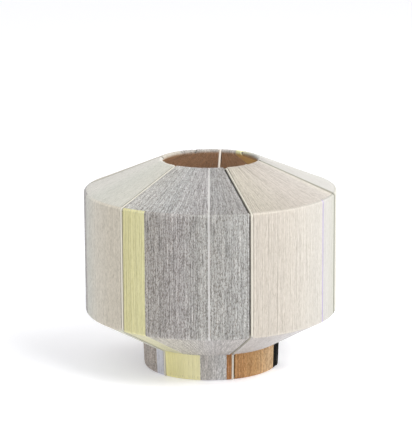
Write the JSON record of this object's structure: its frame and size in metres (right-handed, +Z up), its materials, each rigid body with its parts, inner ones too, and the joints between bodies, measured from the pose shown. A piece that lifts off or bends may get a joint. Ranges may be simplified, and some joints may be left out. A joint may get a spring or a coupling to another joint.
{
  "type": "wound yarn lampshade",
  "caption": "Lampshade of striped yarn wound on a ribbed wire frame, with a conical top, a straight drum, a tapered underside and a round collar, and a lamp ring inside.",
  "frame": {"origin": "centre of the collar's foot, on the floor", "axes": "+Z up along the shade's axis, -Y towards the front, +X to the right as seen from the front"},
  "size_m": [0.38, 0.38, 0.3169],
  "materials": {
    "wire_paint": "satin cream powder coat",
    "yarn_grey": "matte melange yarn of light and dark grey fibres",
    "yarn_pale": "matte pale cool grey yarn",
    "yarn_cream": "matte natural cream yarn",
    "yarn_white": "matte off-white yarn",
    "yarn_beige": "matte beige yarn",
    "yarn_silver": "matte silver grey yarn",
    "yarn_yellow": "matte pale yellow yarn",
    "yarn_lilac": "matte grey lilac yarn",
    "yarn_tan": "matte tan brown yarn",
    "yarn_black": "matte black brown yarn"
  },
  "bodies": {
    "root": {"base_ring": "wire_paint", "waist_ring": "wire_paint", "hip_ring": "wire_paint", "shoulder_ring": "wire_paint", "top_ring": "wire_paint", "rib_1": "wire_paint", "rib_2": "wire_paint", "rib_3": "wire_paint", "rib_4": "wire_paint", "rib_5": "wire_paint", "rib_6": "wire_paint", "arm_1": "wire_paint", "arm_2": "wire_paint", "arm_3": "wire_paint", "lamp_ring": "wire_paint", "cone_left_pale": "yarn_pale", "cone_front_grey_left": "yarn_grey", "cone_front_thread": "yarn_white", "cone_front_grey_right": "yarn_grey", "cone_right_beige": "yarn_beige", "cone_right_back_white": "yarn_white", "cone_back_yellow": "yarn_yellow", "cone_back_grey": "yarn_grey", "cone_left_back_grey": "yarn_grey", "cone_left_back_cream": "yarn_cream", "drum_left_grey": "yarn_grey", "drum_left_beige": "yarn_beige", "drum_front_yellow": "yarn_yellow", "drum_front_grey_left": "yarn_grey", "drum_front_thread": "yarn_white", "drum_front_grey_right": "yarn_grey", "drum_right_cream": "yarn_cream", "drum_right_thread": "yarn_lilac", "drum_right_white": "yarn_white", "drum_right_back_white": "yarn_white", "drum_back_grey": "yarn_grey", "drum_left_back_cream": "yarn_cream", "hip_left_grey": "yarn_pale", "hip_front_yellow": "yarn_yellow", "hip_front_grey": "yarn_grey", "hip_right_silver": "yarn_silver", "hip_right_back_white": "yarn_white", "hip_back_grey": "yarn_grey", "hip_left_back_cream": "yarn_cream", "collar_left_grey": "yarn_grey", "collar_left_lilac": "yarn_lilac", "collar_front_yellow": "yarn_yellow", "collar_front_grey": "yarn_grey", "collar_front_tan": "yarn_tan", "collar_right_tan": "yarn_tan", "collar_right_black": "yarn_black", "collar_right_back_grey": "yarn_grey", "collar_back_beige": "yarn_beige", "collar_left_back_grey": "yarn_grey"}
  },
  "joints": []
}
